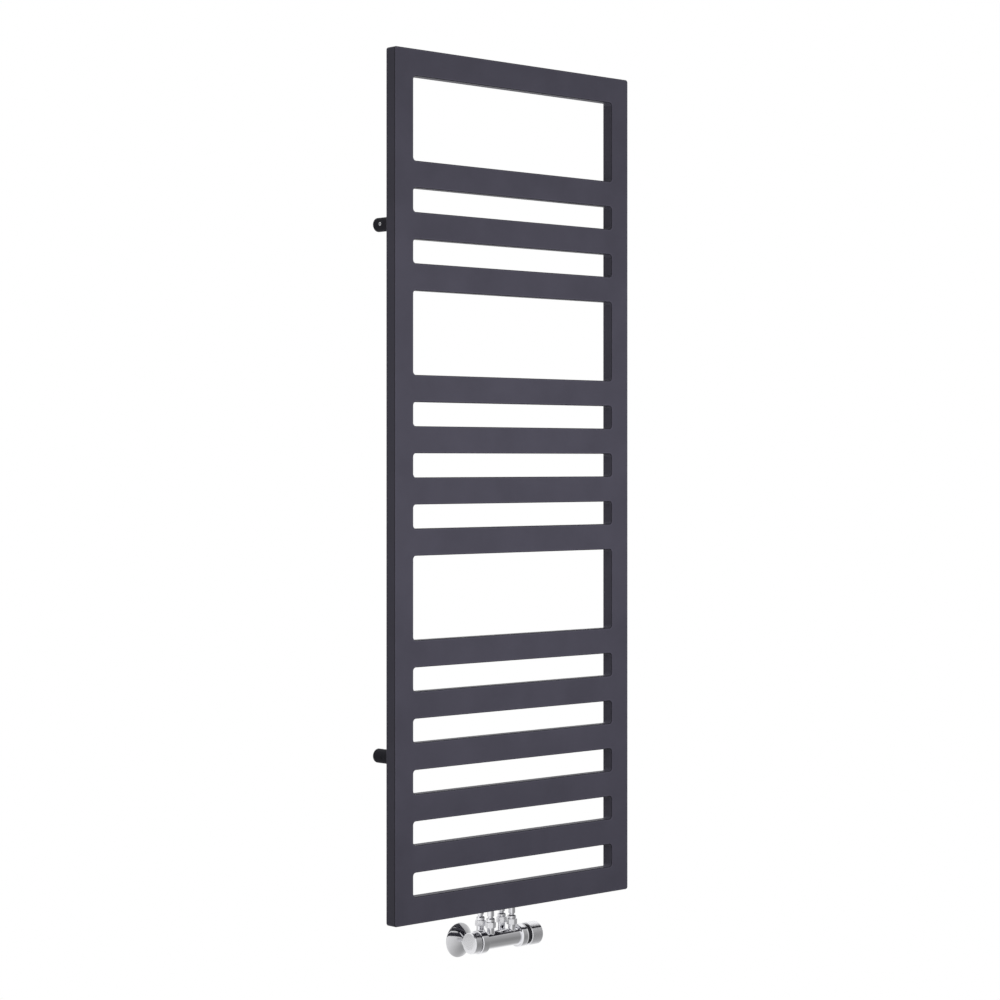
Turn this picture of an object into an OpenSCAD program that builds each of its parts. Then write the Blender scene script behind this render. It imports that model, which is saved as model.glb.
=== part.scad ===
// Flat towel radiator on wall stand-offs, with a chrome regulating valve under its bottom rail.
// Row frame: +Z up, the front faces -Y and the wall is the plane Y = 0.
// The origin is the middle of the four wall fixings.

/* [Frame] */
// Width of the frame over both stiles
frame_w = 550; // [400:1:800]
// Width of a stile seen from the front
stile_w = 41; // [30:1:60]
// Depth of a stile
stile_d = 22; // [18:1:40]
// Height of every cross bar
bar_h = 45; // [30:1:60]
// Depth of every cross bar
bar_d = 18; // [14:1:30]
// Height of a narrow slot between two bars
narrow_slot = 40; // [25:1:60]
// Height of a wide towel slot
wide_slot = 140; // [80:1:200]
// Rounding of the long outer edges
edge_r = 1.5; // [0.8:0.1:3]
// Size of the weld bead in a slot corner
weld_r = 5; // [3:0.5:8]

/* [Wall stand-offs] */
// Distance from the wall to the front face of the frame
projection = 120; // [100:1:160]
// Distance from the side of the frame to a stand-off axis
standoff_in = 66; // [56:1:140]
// How far a stand-off axis lies beyond the middle of its bar
standoff_shift = 10; // [0:0.5:10]
// Outside diameter of a stand-off tube
standoff_od = 24; // [20:0.5:25]
// Wall thickness of a stand-off tube
standoff_wall = 3; // [2:0.5:5]
// Length of the base that is screwed to the wall
base_len = 26; // [24:1:40]
// Diameter of the wall screw hole in a base
wall_hole_d = 6.5; // [4:0.5:9]
// Diameter of the grub screw that locks a stand-off
grub_d = 6; // [4:0.5:8]
// Distance from the wall to the grub screw
grub_y = 19; // [15:0.5:21]

/* [Connection] */
// Distance between the flow side and the return side
riser_pitch = 50; // [48:1:60]
// Distance from the wall to the front risers
riser_y = 82; // [80:0.5:86]
// Distance from the front risers back to the rear risers
pair_pitch = 26; // [25.5:0.5:30]
// How far the valve axis lies behind the front risers
axis_back = 3.5; // [0:0.5:3.5]
// Drop from the underside of the frame to the valve axis
valve_drop = 58.9; // [56:0.1:59.5]
// Drop from the underside of the frame to the wall tails
tail_drop = 69; // [68.5:0.5:80]
// Diameter of a riser tube
riser_d = 11; // [9:0.1:11.5]
// Width across the flats of a union nut
nut_af = 16.4; // [15.8:0.1:17]
// Height of a union nut
nut_h = 10; // [9:0.5:12]
// Diameter of a wall tail
tail_d = 15; // [12:0.5:16]
// How far a wall tail reaches behind the wall plane
tail_stub = 15; // [5:1:40]
// Diameter of the rosette at the wall on the flow side
rosette_d = 60; // [40:1:66]
// Height of that rosette
rosette_h = 20; // [14:0.5:21]
// Diameter of the small rosette on the return side
return_rosette_d = 30; // [26:1:32]
// Height of the small rosette
return_rosette_h = 8; // [6:0.5:12]

/* [Valve] */
// Diameter of the valve tube between its collars
body_d = 30.5; // [30:0.5:31]
// Diameter of the collar at the cover cap
left_collar_d = 40.5; // [36:0.5:41]
// Length of the collar at the cover cap
left_collar_l = 15; // [8:0.5:20]
// Diameter of the collar at the knob
right_collar_d = 40; // [36:0.5:41]
// Length of the collar at the knob
right_collar_l = 14.5; // [8:0.5:19]
// Diameter of the cover cap
cap_d = 36.5; // [34:0.5:40]
// Length of the cover cap
cap_l = 16; // [14:0.5:22]
// Diameter of the knob
knob_d = 39.8; // [34:0.2:44]
// Length of the knob
knob_l = 26; // [22:0.5:36]
// Travel of the regulating disc
disc_travel = 3.4; // [2:0.1:3.8]
// Travel of the lockshield plug
plug_travel = 3.6; // [2:0.1:3.8]

/* [Hidden] */
$fn = 40;

slide_gap = 0.04;      // radial gap of a sliding fit
run_gap = 0.05;        // radial gap of a turning fit
seat_gap = 0.1;        // radial gap of a piece that is screwed or pushed home
weld_cover = 0.8;      // part of a weld bead's radius that its legs cover

// Bars from the bottom up: the slot below each one is narrow or wide.
slots = [for (wide = [0, 0, 0, 0, 0, 1, 0, 0, 0, 1, 0, 0, 1]) wide ? wide_slot : narrow_slot];
function bar_z(i) = i == 0 ? 0 : bar_z(i - 1) + bar_h + slots[i - 1];
top_bar = len(slots);
frame_h = bar_z(top_bar) + bar_h;
fix_bars = [3, 11];                        // the bars that carry the stand-offs
low_fix = bar_z(fix_bars[0]) + bar_h / 2 - standoff_shift;
high_fix = bar_z(fix_bars[1]) + bar_h / 2 + standoff_shift;
frame_z = -(low_fix + high_fix) / 2;       // underside of the frame
front_y = -projection;
bar_back = front_y + bar_d;
stile_back = front_y + stile_d;

standoff_x = frame_w / 2 - standoff_in;
standoff_id = standoff_od - 2 * standoff_wall;
boss_len = 12;
countersink = 4;
grub_hex = grub_d / 2;                     // across flats of its socket

front_riser_y = -riser_y;
rear_riser_y = front_riser_y + pair_pitch;
axis_y = front_riser_y + axis_back;
axis_z = frame_z - valve_drop;
tail_z = frame_z - tail_drop;
bore_d = 7;                                // water way in the risers
block_h = 24;
block_margin = 13;
block_r = 6;
spigot_d = 12;
spigot_l = 10;
nipple_d = 12.2;
collar_ring_d = 15.2;
collar_ring_l = 5;
bare_riser = 7;                            // between a union nut and the valve tube
nut_top = valve_drop - body_d / 2 - bare_riser - nut_h;   // below the underside of the frame
nut_lip = 4;
nut_bore_d = 14;
tube_flange_l = 2;
tube_top = nut_top + nut_h - nut_lip - tube_flange_l;
joint_gap = 0.3;                           // between a nipple and the tube flange under it
nipple_l = tube_top - joint_gap;
tube_flange_d = 13;
socket_depth = 4;
branch_d = 14.6;
elbow_d = 18;
elbow_ball = 16;
elbow_neck_d = 13.2;
stub_d = tail_d - 1;                       // turned end of a tail, behind the wall plane
dome_t = 1.2;

// Stations along the valve axis, counted from the flow riser.
chamber_d = 22;
left_reach = 30.5;                         // from the flow riser to the left end of the body
right_reach = 27.5;                        // from the return riser to its right end
left_end = -left_reach;
insert_end = -9.5;                         // inner end of the lockshield insert
right_end = riser_pitch + right_reach;
seat_d = 10;
seat_offset = 9;                           // from a riser to its seat
left_seat = seat_offset;
right_seat = riser_pitch - seat_offset;
flange_l = 4;
left_flange_d = 28;
neck_l = 6;
neck_d = 26;
spindle_d = 7.9;
lift_d = 6;
plug_d = 16;
disc_d = 16;
disc_rod_d = 6;
washer_l = 2;
ring_start = right_end + 3;
ring_l = 4.6;
ring_d = 34.4;
sleeve_d = 18;
knob_start = ring_start + ring_l + 0.4;
o_ring_d = 2;
index_angle = 50;
index_w = 2.4;
index_depth = 0.8;

vent_x = frame_w / 2 - stile_w / 2;
vent_z = frame_z + frame_h - bar_h / 2;
vent_socket_d = 24;
vent_socket_l = 8;
vent_af = 17;
vent_l = 7;
bleed_d = 8;
bleed_l = 12;
slot_w = 1.2;

paint = [0.27, 0.26, 0.31];
chrome = [0.82, 0.83, 0.85];
brass = [0.78, 0.63, 0.33];
black = [0.08, 0.08, 0.09];
steel = [0.7, 0.71, 0.72];

// A square-cut strip with rounded long edges, lying along X.
module strip_x(l, d, h, r)
    rotate([90, 0, 90]) linear_extrude(l) {
        translate([r, 0]) square([d - 2 * r, h]);
        translate([0, r]) square([d, h - 2 * r]);
        for (x = [r, d - r], y = [r, h - r]) translate([x, y]) circle(r);
    }

// A round bar along X from a to b.
module bar_x(d, a, b) translate([a, 0, 0]) rotate([0, 90, 0]) cylinder(d = d, h = b - a);

// A round bar along Y from a to b.
module bar_y(d, a, b) translate([0, a, 0]) rotate([-90, 0, 0]) cylinder(d = d, h = b - a);

// A round bar along Z from a to b.
module bar_zz(d, a, b) translate([0, 0, a]) cylinder(d = d, h = b - a);

// A hexagon along Z, sized across its flats.
module hex_z(af, a, b) translate([0, 0, a]) cylinder(d = af / cos(30), h = b - a, $fn = 6);

// ---- frame -----------------------------------------------------------------------------

module stile()
    color(paint) translate([-frame_w / 2, front_y, frame_z]) linear_extrude(frame_h) {
        translate([edge_r, 0]) square([stile_w - edge_r, stile_d]);
        translate([0, edge_r]) square([stile_w, stile_d - 2 * edge_r]);
        for (y = [edge_r, stile_d - edge_r]) translate([edge_r, y]) circle(edge_r);
    }

module left_stile() stile();

module right_stile() mirror([1, 0, 0]) stile();

module bar(i)
    color(paint) translate([stile_w - frame_w / 2, front_y, frame_z + bar_z(i)])
        strip_x(frame_w - 2 * stile_w, bar_d, bar_h, edge_r);

module top_rail() bar(top_bar);

module bottom_rail() bar(0);

// Hollow-faced weld bead, its two legs along +X and +Z.
module weld_bead()
    rotate([90, 0, 0]) translate([0, 0, -(bar_d - 2 * edge_r)]) linear_extrude(bar_d - 2 * edge_r)
        difference() {
            square(weld_r * weld_cover);
            translate([weld_r, weld_r]) circle(weld_r);
        }

module corner_welds()
    color(paint) for (i = [0 : top_bar - 1], side = [0, 1])
        mirror([side, 0, 0]) translate([stile_w - frame_w / 2, front_y + edge_r, frame_z + bar_z(i) + bar_h]) {
            weld_bead();
            translate([0, 0, slots[i]]) mirror([0, 0, 1]) weld_bead();
        }

// ---- wall stand-offs -------------------------------------------------------------------

module at_standoffs()
    for (side = [0, 1], z = [frame_z + low_fix, frame_z + high_fix])
        mirror([side, 0, 0]) translate([-standoff_x, 0, z]) children();

module standoff_bosses()
    color(paint) at_standoffs() bar_y(standoff_id - 2 * seat_gap, bar_back, bar_back + boss_len);

module standoff_tubes()
    color(black) at_standoffs() difference() {
        bar_y(standoff_od, bar_back, 0);
        bar_y(standoff_id, bar_back - 1, 1);
        translate([0, -grub_y, 0]) bar_x(grub_d + 2 * seat_gap, -standoff_od, 0);
    }

module wall_bases()
    color(steel) at_standoffs() difference() {
        bar_y(standoff_id - 2 * seat_gap, -base_len, 0);
        bar_y(wall_hole_d, -base_len - 1, 1);
        translate([0, -base_len, 0]) rotate([-90, 0, 0])
            cylinder(d1 = wall_hole_d + 2 * countersink, d2 = wall_hole_d, h = countersink);
    }

module grub_screws()
    color(steel) at_standoffs() translate([0, -grub_y, 0]) difference() {
        bar_x(grub_d, -standoff_od / 2 - 0.4, -standoff_id / 2);
        translate([-standoff_od / 2 - 0.4, 0, 0]) rotate([0, 90, 0]) hex_z(grub_hex, -1, standoff_wall - 1);
    }

// ---- air vent --------------------------------------------------------------------------

module at_vent() translate([vent_x, stile_back, vent_z]) children();

module vent_socket()
    color(paint) at_vent() difference() {
        bar_y(vent_socket_d, 0, vent_socket_l);
        bar_y(bleed_d + 2 * seat_gap, -1, vent_socket_l + 1);
    }

module vent_plug()
    color(chrome) at_vent() difference() {
        rotate([-90, 0, 0]) hex_z(vent_af, vent_socket_l, vent_socket_l + vent_l);
        bar_y(bleed_d + 2 * run_gap, vent_socket_l - 1, vent_socket_l + vent_l + 1);
    }

module bleed_screw()
    color(brass) at_vent() difference() {
        bar_y(bleed_d, vent_socket_l + vent_l + 2 - bleed_l, vent_socket_l + vent_l + 2);
        translate([-bleed_d, vent_socket_l + vent_l + 0.5, -slot_w / 2]) cube([2 * bleed_d, 2, slot_w]);
    }

// ---- connection ------------------------------------------------------------------------

// Places its children at both risers of one pair, on the underside of the frame.
module at_risers(y) for (s = [-1, 1]) translate([s * riser_pitch / 2, y, frame_z]) children();

module connection_block()
    color(paint) difference() {
        translate([-riser_pitch / 2 - block_margin, bar_back, frame_z]) linear_extrude(block_h) {
            w = riser_pitch + 2 * block_margin;
            d = rear_riser_y + block_margin - bar_back;
            square([w, d - block_r]);
            translate([block_r, 0]) square([w - 2 * block_r, d]);
            for (x = [block_r, w - block_r]) translate([x, d - block_r]) circle(block_r);
        }
        for (y = [front_riser_y, rear_riser_y]) at_risers(y) bar_zz(spigot_d + 2 * seat_gap, -1, spigot_l + 1);
    }

module nipple()
    color(chrome) difference() {
        union() {
            bar_zz(spigot_d, -1, spigot_l);
            bar_zz(nipple_d, -nipple_l, 0);
            bar_zz(collar_ring_d, -nut_top + joint_gap, -nut_top + collar_ring_l);
            bar_zz(nut_bore_d - 2 * seat_gap, -nipple_l, -nut_top);
        }
        bar_zz(bore_d, -nipple_l - 1, spigot_l + 1);
    }

module front_nipples() at_risers(front_riser_y) nipple();

module rear_nipples() at_risers(rear_riser_y) nipple();

module union_nut()
    color(chrome) difference() {
        intersection() {
            hex_z(nut_af, -nut_top - nut_h, -nut_top);
            bar_zz(nut_af * 1.1, -nut_top - nut_h - 1, -nut_top + 1);
        }
        bar_zz(riser_d + 2 * seat_gap, -nut_top - nut_h - 1, -nut_top);
        bar_zz(nut_bore_d, -nut_top - nut_h + nut_lip, -nut_top + 1);
    }

module front_union_nuts() at_risers(front_riser_y) union_nut();

module rear_union_nuts() at_risers(rear_riser_y) union_nut();

// Tube with a flange that the union nut pulls up, reaching down to the drop given.
module riser_tube(drop)
    color(chrome) difference() {
        union() {
            bar_zz(riser_d, -drop, -tube_top);
            bar_zz(tube_flange_d, -tube_top - tube_flange_l, -tube_top);
        }
        bar_zz(bore_d, -drop - 1, 1);
    }

branch_top = valve_drop - body_d / 2 - 1;
module front_riser_tubes() at_risers(front_riser_y) riser_tube(branch_top + socket_depth);

elbow_top = tail_drop - elbow_d / 2 - 3;
module rear_riser_tubes() at_risers(rear_riser_y) riser_tube(elbow_top + socket_depth);

module elbows()
    color(chrome) at_risers(rear_riser_y) translate([0, 0, -tail_drop]) difference() {
        union() {
            sphere(d = elbow_ball);
            bar_y(elbow_d, 2, elbow_d / 2 + 4);
            bar_zz(elbow_neck_d, 0, tail_drop - elbow_top);
        }
        bar_zz(bore_d, 0, tail_drop);
        bar_zz(riser_d + 2 * seat_gap, tail_drop - elbow_top - socket_depth, tail_drop);
        bar_y(tail_d + 2 * seat_gap, elbow_d / 2 - 1, elbow_d);
        bar_y(bore_d, 0, elbow_d);
    }

module wall_tails()
    color(chrome) at_risers(0) translate([0, 0, -tail_drop]) difference() {
        union() {
            bar_y(tail_d, rear_riser_y + elbow_d / 2 - 1, 0);
            bar_y(stub_d, -1, tail_stub);
        }
        bar_y(tail_d - 3, rear_riser_y, tail_stub + 1);
    }

// Domed cover that slides on one wall tail, side -1 for flow and 1 for return.
module tail_cover(side, d, h) {
    ball = (d * d / 4 + h * h) / (2 * h);
    color(chrome) translate([side * riser_pitch / 2, 0, tail_z]) difference() {
        union() {
            intersection() {
                translate([0, ball - h, 0]) difference() {
                    sphere(ball, $fn = 56);
                    sphere(ball - dome_t, $fn = 56);
                }
                translate([-d, -d, -d]) cube([2 * d, d, 2 * d]);
            }
            bar_y(tail_d + 3, -h - 2, -h + 4);
        }
        bar_y(tail_d + 2 * slide_gap, -h - 3, 1);
    }
}

module rosette() tail_cover(-1, rosette_d, rosette_h);

module return_rosette() tail_cover(1, return_rosette_d, return_rosette_h);

// ---- valve -----------------------------------------------------------------------------

// Places its children on the valve axis, at the flow riser.
module on_axis() translate([-riser_pitch / 2, axis_y, axis_z]) children();

// Places its children on both front risers, at the height of the valve axis.
module at_branches() for (x = [0, riser_pitch]) translate([x, -axis_back, 0]) children();

module valve_body()
    color(chrome) on_axis() difference() {
        union() {
            bar_x(body_d, left_end, right_end);
            bar_x(left_collar_d, left_end, left_end + left_collar_l);
            bar_x(right_collar_d, right_end - right_collar_l, right_end);
            at_branches() bar_zz(branch_d, 0, valve_drop - branch_top);
        }
        bar_x(chamber_d, left_end - 1, left_seat);
        bar_x(seat_d, left_seat - 1, right_seat + 1);
        bar_x(chamber_d, right_seat, right_end + 1);
        at_branches() {
            bar_zz(bore_d, 0, valve_drop);
            bar_zz(riser_d + 2 * seat_gap, valve_drop - branch_top - socket_depth, valve_drop);
        }
    }

module lockshield_insert()
    color(brass) on_axis() difference() {
        union() {
            bar_x(chamber_d - 2 * seat_gap, left_end, insert_end);
            bar_x(left_flange_d, left_end - flange_l, left_end);
            bar_x(neck_d, left_end - flange_l - neck_l, left_end - flange_l);
        }
        bar_x(spindle_d + 2 * run_gap, 2 * left_end, insert_end + 1);
        translate([left_end - flange_l - neck_l / 2, 0, 0]) rotate([0, 90, 0]) difference() {
            cylinder(d = neck_d + 2, h = o_ring_d + 0.1, center = true);
            cylinder(d = neck_d - 2 * o_ring_d - 0.1, h = o_ring_d + 1, center = true);
        }
    }

module cap_o_ring()
    color(black) on_axis() translate([left_end - flange_l - neck_l / 2, 0, 0]) rotate([0, 90, 0])
        rotate_extrude() translate([(neck_d - o_ring_d) / 2 - 0.01, 0]) circle(d = o_ring_d - 0.02, $fn = 16);

module lockshield_spindle()
    color(brass) on_axis() difference() {
        union() {
            bar_x(spindle_d, left_end - flange_l - neck_l - 1, insert_end + 0.2);
            bar_x(spindle_d + 3, insert_end + 0.2, insert_end + 2.2);
            bar_x(lift_d, insert_end + 1, 3);
        }
        translate([left_end - flange_l - neck_l - 1, 0, 0]) rotate([0, 90, 0]) hex_z(5, -1, 4);
    }

module lockshield_plug()
    color(brass) on_axis() difference() {
        union() {
            bar_x(plug_d, -5, left_seat - 0.4 - plug_travel);
            bar_x(seat_d - 1, 0, left_seat + 2.6 - plug_travel);
        }
        bar_x(lift_d + 2 * run_gap, -6, 4);
    }

module cover_cap()
    color(chrome) on_axis() difference() {
        bar_x(cap_d, left_end - 1 - cap_l, left_end - 1);
        bar_x(neck_d + 2 * slide_gap, left_end - cap_l + 2.5, left_end);
        bar_x(left_flange_d + 1, left_end - flange_l - 0.2, left_end);
    }

module regulating_insert()
    color(brass) on_axis() difference() {
        union() {
            bar_x(chamber_d - 2 * seat_gap, riser_pitch + 8, right_end);
            bar_x(left_flange_d + 2, right_end, ring_start);
            bar_x(sleeve_d, right_end, knob_start + knob_l - 10);
        }
        bar_x(disc_rod_d + 2 * slide_gap, riser_pitch, knob_start + knob_l);
        bar_x(disc_rod_d + 2 * o_ring_d, riser_pitch + 12, riser_pitch + 12 + o_ring_d + 0.1);
    }

module spindle_o_ring()
    color(black) on_axis() translate([riser_pitch + 13.05, 0, 0]) rotate([0, 90, 0])
        rotate_extrude() translate([disc_rod_d / 2 + o_ring_d / 2 + 0.02, 0]) circle(d = o_ring_d - 0.1, $fn = 16);

disc_face = right_seat + disc_travel + 0.2;

module regulating_spindle()
    color(steel) on_axis() {
        bar_x(disc_d, disc_face + washer_l, disc_face + 2 * washer_l);
        bar_x(disc_rod_d, disc_face + 2 * washer_l - 1, knob_start + knob_l - 12);
    }

module seat_washer()
    color(black) on_axis() bar_x(disc_d - 2, disc_face, disc_face + washer_l);

module knob_ring()
    color(black) on_axis() difference() {
        bar_x(ring_d, ring_start, ring_start + ring_l);
        bar_x(sleeve_d + 2 * seat_gap, ring_start - 1, knob_start);
    }

// Slot for the index line, in the skin of the knob.
module index_bar(a, b, w, depth)
    rotate([index_angle, 0, 0]) translate([a, -w / 2, knob_d / 2 - depth]) cube([b - a, w, depth - 0.2]);

module knob()
    color(chrome) on_axis() difference() {
        union() {
            bar_x(knob_d, knob_start, knob_start + knob_l - 2);
            translate([knob_start + knob_l - 2, 0, 0]) rotate([0, 90, 0])
                cylinder(d1 = knob_d, d2 = knob_d - 3, h = 2);
        }
        bar_x(sleeve_d + 2 * run_gap, knob_start - 1, knob_start + knob_l - 8);
        rotate([index_angle, 0, 0]) translate([knob_start + 1, -index_w / 2, knob_d / 2 - index_depth])
            cube([knob_l - 4, index_w, 2]);
    }

module knob_index()
    color(black) on_axis() index_bar(knob_start + 1.1, knob_start + knob_l - 3.1, index_w - 0.2, index_depth);

left_stile();
right_stile();
top_rail();
bottom_rail();
bar(1);  // bar_01
bar(2);  // bar_02
bar(3);  // bar_03
bar(4);  // bar_04
bar(5);  // bar_05
bar(6);  // bar_06
bar(7);  // bar_07
bar(8);  // bar_08
bar(9);  // bar_09
bar(10);  // bar_10
bar(11);  // bar_11
bar(12);  // bar_12
corner_welds();
connection_block();
standoff_bosses();
standoff_tubes();
wall_bases();
grub_screws();
vent_socket();
vent_plug();
bleed_screw();
front_nipples();
rear_nipples();
front_union_nuts();
rear_union_nuts();
front_riser_tubes();
rear_riser_tubes();
elbows();
wall_tails();
rosette();
return_rosette();
valve_body();
lockshield_insert();
lockshield_spindle();
lockshield_plug();
cap_o_ring();
cover_cap();
regulating_insert();
regulating_spindle();
seat_washer();
spindle_o_ring();
knob_ring();
knob();
knob_index();
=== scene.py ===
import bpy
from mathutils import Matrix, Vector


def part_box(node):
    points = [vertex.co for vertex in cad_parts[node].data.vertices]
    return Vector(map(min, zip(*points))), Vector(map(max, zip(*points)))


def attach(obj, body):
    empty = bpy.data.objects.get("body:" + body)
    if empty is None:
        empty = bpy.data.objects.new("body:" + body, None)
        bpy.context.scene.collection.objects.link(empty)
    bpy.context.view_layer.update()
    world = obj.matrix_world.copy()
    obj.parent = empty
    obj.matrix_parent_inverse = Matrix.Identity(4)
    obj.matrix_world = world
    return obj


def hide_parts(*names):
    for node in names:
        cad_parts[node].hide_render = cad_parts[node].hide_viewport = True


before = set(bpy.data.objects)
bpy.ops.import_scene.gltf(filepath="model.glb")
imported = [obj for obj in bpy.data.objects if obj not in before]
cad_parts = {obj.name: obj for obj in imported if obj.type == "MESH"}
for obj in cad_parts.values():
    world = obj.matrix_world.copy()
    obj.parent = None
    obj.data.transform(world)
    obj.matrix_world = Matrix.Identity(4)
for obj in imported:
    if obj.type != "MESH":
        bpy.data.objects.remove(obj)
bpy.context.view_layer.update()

import math

import bmesh
import bpy
from bpy.props import FloatProperty, FloatVectorProperty, IntProperty, PointerProperty
from mathutils import Matrix, Vector

bl_info = {
    "name": "Radiator with valve",
    "version": (1, 0, 0),
    "blender": (4, 2, 0),
    "location": "View3D > Sidebar > Radiator",
    "description": "Dresses a flat towel radiator, its wall stand-offs and its chrome valve",
    "category": "Object",
}

BODY = "radiator"
X, Y, Z = range(3)
ORIGIN = (0, 0, 0)
FULL_TURN = 2 * math.pi


# ---- places, all from the solids -------------------------

def span(node, axis):
    """Lowest and highest coordinate of a CAD node along one axis."""
    low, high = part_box(node)
    return low[axis], high[axis]


def middle(node, axis):
    """Middle of a CAD node along one axis."""
    low, high = span(node, axis)
    return (low + high) / 2


def width(node, axis):
    """Size of a CAD node along one axis."""
    low, high = span(node, axis)
    return high - low


def below(node):
    """Lowest and highest point of a node, measured from the underside of the frame."""
    low, high = span(node, Z)
    return low - BOTTOM, high - BOTTOM


FRONT, BAR_BACK = span("top_rail", Y)
STILE_BACK = span("left_stile", Y)[1]
LEFT, INNER_LEFT = span("left_stile", X)
BOTTOM, TOP = span("left_stile", Z)
BARS = ["bottom_rail"] + ["bar_%02d" % i for i in range(1, 13)] + ["top_rail"]
BAR_SPANS = [span(name, Z) for name in BARS]

TUBE_R = width("front_riser_tubes", Y) / 2
RISER_X = [span("front_riser_tubes", X)[0] + TUBE_R, span("front_riser_tubes", X)[1] - TUBE_R]
FRONT_Y = middle("front_nipples", Y)
REAR_Y = middle("rear_nipples", Y)
AXIS_Y = middle("cover_cap", Y)
AXIS_Z = middle("cover_cap", Z)
TAIL_Z = middle("rosette", Z)
TAIL_R = width("wall_tails", Z) / 2

# ---- radii and trims that the solids' boxes don't give, in metres ----

STANDOFF_R, STANDOFF_BORE = 0.012, 0.009
RISER_BORE = 0.0035                # water way of every riser
NECK_R = 0.0065                    # end of a riser tube and start of an elbow
SLEEVE_R = 0.0090                  # sleeve on an elbow, and hub of a rosette round it
PIPE_R = 0.01525                   # valve tube between its collars
CHAMBER_R, SEAT_R = 0.0110, 0.0050     # inside of the valve
BRANCH_R = 0.0060                  # branches from the valve tube up to the front risers
BRANCH_DROP = 0.04265              # from the frame's underside to the top of a branch
SPINDLE_BORE = 0.00905             # blind bore of the knob
FIT = 0.00004                      # play round a tail, and height of the line on the knob

EDGE_STEPS = 4                     # faces over each rounded long edge
HIGHLIGHT_WIDTH = 0.0018                # strip of painted highlight along a front edge
PAINTED_HIGHLIGHT = -0.5                  # value of "rim" where the rounding starts, a painted highlight; 1 is the darkest line
LEAST_R = 1e-5                     # of a corner, so that it keeps its count of points
FLAT = 0.9999                      # a face whose normal lies this near an axis is shaded flat

NUT_SIDES, STANDOFF_SIDES = 72, 64
NUT_LAND, NUT_CORNER = 0.985, 1.125     # end faces and corners, in half widths over the flats
NUT_CONE = math.radians(32)
NUT_TURN = math.radians(17.5)      # of the union nuts about their risers
VENT_TURN = math.radians(30)
CHAMFER = 0.0004                   # at the mouth of a nut's bore

COVER_LEAN, COVER_EASE = 46.0, 14.0     # slope of a rosette at its rim, less towards its hub
INDEX_TURN = math.radians(50)      # of the line on the knob, from the top towards the front
INDEX_HALF = 0.0016                # half the width of that line


# ---- materials -------------------------------------------

class Term:
    """A shader socket that takes part in sums and products."""

    def __init__(self, recipe, socket):
        self.recipe, self.socket = recipe, socket

    def _math(self, operation, first, second=None):
        return self.recipe.node("ShaderNodeMath", {"operation": operation}, {0: first, 1: second})

    def __add__(self, other):
        return self._math("ADD", self, other)

    __radd__ = __add__

    def __sub__(self, other):
        return self._math("SUBTRACT", self, other)

    def __rsub__(self, other):
        return self._math("SUBTRACT", other, self)

    def __mul__(self, other):
        return self._math("MULTIPLY", self, other)

    __rmul__ = __mul__

    def clipped(self):
        return self.recipe.node("ShaderNodeClamp", {}, {"Value": self})

    def larger(self, other):
        return self._math("MAXIMUM", self, other)


class Recipe:
    """Builds one material or world: every node comes from node(), numbers from Term expressions."""

    def __init__(self, block):
        self.block = block
        block.use_nodes = True
        self.tree = block.node_tree
        self.tree.nodes.clear()
        kind = "World" if isinstance(block, bpy.types.World) else "Material"
        self.output = self.tree.nodes.new("ShaderNodeOutput" + kind)

    def node(self, kind, settings=None, inputs=None, out=0):
        """Adds a node: its settings first, then the values or links of its sockets."""
        made = self.tree.nodes.new(kind)
        for key, value in (settings or {}).items():
            if key == "stops":
                ramp = made.color_ramp.elements
                while len(ramp) < len(value):
                    ramp.new(1.0)
                for element, (position, level) in zip(ramp, value):
                    element.position = position
                    element.color = (level, level, level, 1.0)
            else:
                setattr(made, key, value)
        for key, value in (inputs or {}).items():
            if isinstance(value, Term):
                self.tree.links.new(value.socket, made.inputs[key])
            elif value is not None:
                made.inputs[key].default_value = value
        return Term(self, made.outputs[out])

    def place(self, scale=(1.0, 1.0, 1.0), shift=(0.0, 0.0, 0.0)):
        """Object coordinates, stretched and moved."""
        coords = self.node("ShaderNodeTexCoord", out="Object")
        return self.node("ShaderNodeMapping", {}, {"Vector": coords, "Location": shift,
                                                   "Scale": scale})

    def noise(self, size, detail, roughness, vector=None):
        """Noise from 0 to 1 whose blotches are about size metres."""
        return self.node("ShaderNodeTexNoise", {}, {
            "Vector": vector or self.place(), "Scale": 1.0 / size,
            "Detail": detail, "Roughness": roughness})

    def ramp(self, value, *stops):
        """Grey levels (position, level) along a value."""
        return self.node("ShaderNodeValToRGB", {"stops": stops}, {"Fac": value})

    def blend(self, mask, first, second):
        """One colour at mask 0, the other at mask 1."""
        return self.node("ShaderNodeMix", {"data_type": "RGBA"},
                         {0: mask, 6: opaque(first), 7: opaque(second)}, out=2)

    def mix(self, mask, first, second):
        """One shader at mask 0, the other at mask 1."""
        return self.node("ShaderNodeMixShader", {}, {0: mask, 1: first, 2: second})

    def bump(self, height, depth, strength):
        return self.node("ShaderNodeBump", {}, {"Height": height, "Distance": depth,
                                                "Strength": strength})

    def finish(self, colour, roughness, metallic, normal, **constants):
        """Ends a material in its surface shader; constants are sockets with one plain value."""
        inputs = {"Base Color": opaque(colour), "Roughness": roughness, "Metallic": metallic,
                  "Normal": normal}
        inputs.update({key.replace("_", " "): value for key, value in constants.items()})
        self.show(self.node("ShaderNodeBsdfPrincipled", {}, inputs))
        return self.block

    def show(self, shader):
        self.tree.links.new(shader.socket, self.output.inputs["Surface"])

    def rays(self):
        """Whether the ray comes from the camera, from a mirror or through glass."""
        path = self.tree.nodes.new("ShaderNodeLightPath")
        return [Term(self, path.outputs[name]) for name in
                ("Is Camera Ray", "Is Glossy Ray", "Is Transmission Ray")]


def opaque(colour):
    return colour if isinstance(colour, Term) or len(colour) == 4 else (*colour, 1.0)


def shade(colour, factor):
    return tuple(min(1.0, c * factor) for c in colour)


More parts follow.
